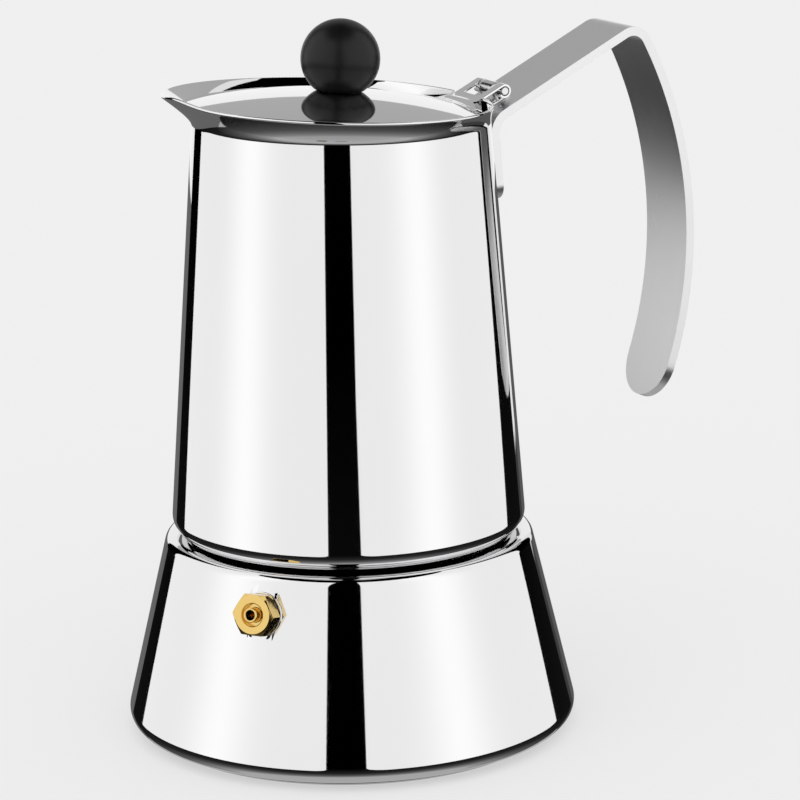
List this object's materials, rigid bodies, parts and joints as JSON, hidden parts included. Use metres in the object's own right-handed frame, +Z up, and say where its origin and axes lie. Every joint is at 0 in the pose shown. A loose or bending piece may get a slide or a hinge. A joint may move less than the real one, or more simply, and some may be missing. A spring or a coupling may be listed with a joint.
{
  "type": "moka pot",
  "caption": "Conical sheet-steel stove-top espresso maker with hinged lid, ball knob, bent strap handle, brass safety valve and screw-on collector.",
  "frame": {"origin": "middle of the foot's underside, on the pot's axis", "axes": "+Z up along the pot's axis, +X towards the handle, spout at -X"},
  "size_m": [0.148, 0.11, 0.1739],
  "materials": {
    "boiler_shell": "mirror polished",
    "boiler_neck": "turned",
    "heat_disc": "matt",
    "base_cap": "polished edge, satin face",
    "valve_body": "polished",
    "valve_seal": "matt",
    "valve_washer": "plain",
    "valve_nut": "turned",
    "valve_seat": "turned",
    "valve_spring": "drawn wire",
    "valve_pin": "polished",
    "funnel_cup": "satin",
    "funnel_stem": "satin",
    "funnel_plate": "satin",
    "gasket": "matt silicone",
    "upper_filter": "satin",
    "collector_shell": "mirror polished",
    "collector_ring": "plain",
    "collector_floor": "satin",
    "riser_tube": "satin",
    "riser_cap": "polished",
    "handle": "polished",
    "hinge_bracket": "polished",
    "hinge_pin": "polished",
    "lid": "mirror polished",
    "knob": "satin",
    "knob_insert": "turned",
    "knob_screw": "plain",
    "knob_washer": "plain"
  },
  "bodies": {
    "boiler": {"boiler_shell": "boiler_shell", "boiler_neck": "boiler_neck", "heat_disc": "heat_disc", "base_cap": "base_cap", "valve_body": "valve_body", "valve_seal": "valve_seal", "valve_washer": "valve_washer", "valve_nut": "valve_nut", "valve_seat": "valve_seat", "valve_spring": "valve_spring"},
    "valve_pin": {"valve_pin": "valve_pin"},
    "funnel": {"funnel_cup": "funnel_cup", "funnel_stem": "funnel_stem", "funnel_plate": "funnel_plate"},
    "gasket": {"gasket": "gasket"},
    "upper_filter": {"upper_filter": "upper_filter"},
    "collector": {"collector_shell": "collector_shell", "collector_ring": "collector_ring", "collector_floor": "collector_floor", "riser_tube": "riser_tube", "riser_cap": "riser_cap", "handle": "handle", "hinge_bracket": "hinge_bracket", "hinge_pin": "hinge_pin"},
    "lid": {"lid": "lid", "knob": "knob", "knob_insert": "knob_insert", "knob_screw": "knob_screw", "knob_washer": "knob_washer"}
  },
  "joints": [
    {"name": "funnel_lift", "type": "slide", "parent": "boiler", "child": "funnel", "axis": [0, 0, 1], "range_m": [0, 0.06]},
    {"name": "collector_rise", "type": "slide", "parent": "funnel", "child": "gasket", "axis": [0, 0, 1], "range_m": [0, 0.0081]},
    {"name": "collector_turn", "type": "hinge", "parent": "gasket", "child": "upper_filter", "pos_m": [0, 0, 0.06211], "axis": [0, 0, 1], "range_deg": [0, 900]},
    {"name": "lift_off", "type": "slide", "parent": "upper_filter", "child": "collector", "axis": [0, 0, 1], "range_m": [0, 0.06]},
    {"name": "lid_hinge", "type": "hinge", "parent": "collector", "child": "lid", "pos_m": [0.0409, 0, 0.15402], "axis": [0, 1, 0], "range_deg": [0, 110]},
    {"name": "valve_pin_slide", "type": "slide", "parent": "boiler", "child": "valve_pin", "axis": [-0.7716, -0.592, 0.2327], "range_m": [0, 0.0015], "stiffness_N_per_m": 600, "springref_m": -0.0023, "deforming": ["valve_spring"]}
  ],
  "couplings": [
    {"joint": "collector_rise", "follows": "collector_turn", "m_per_rad": 0.0005093}
  ]
}
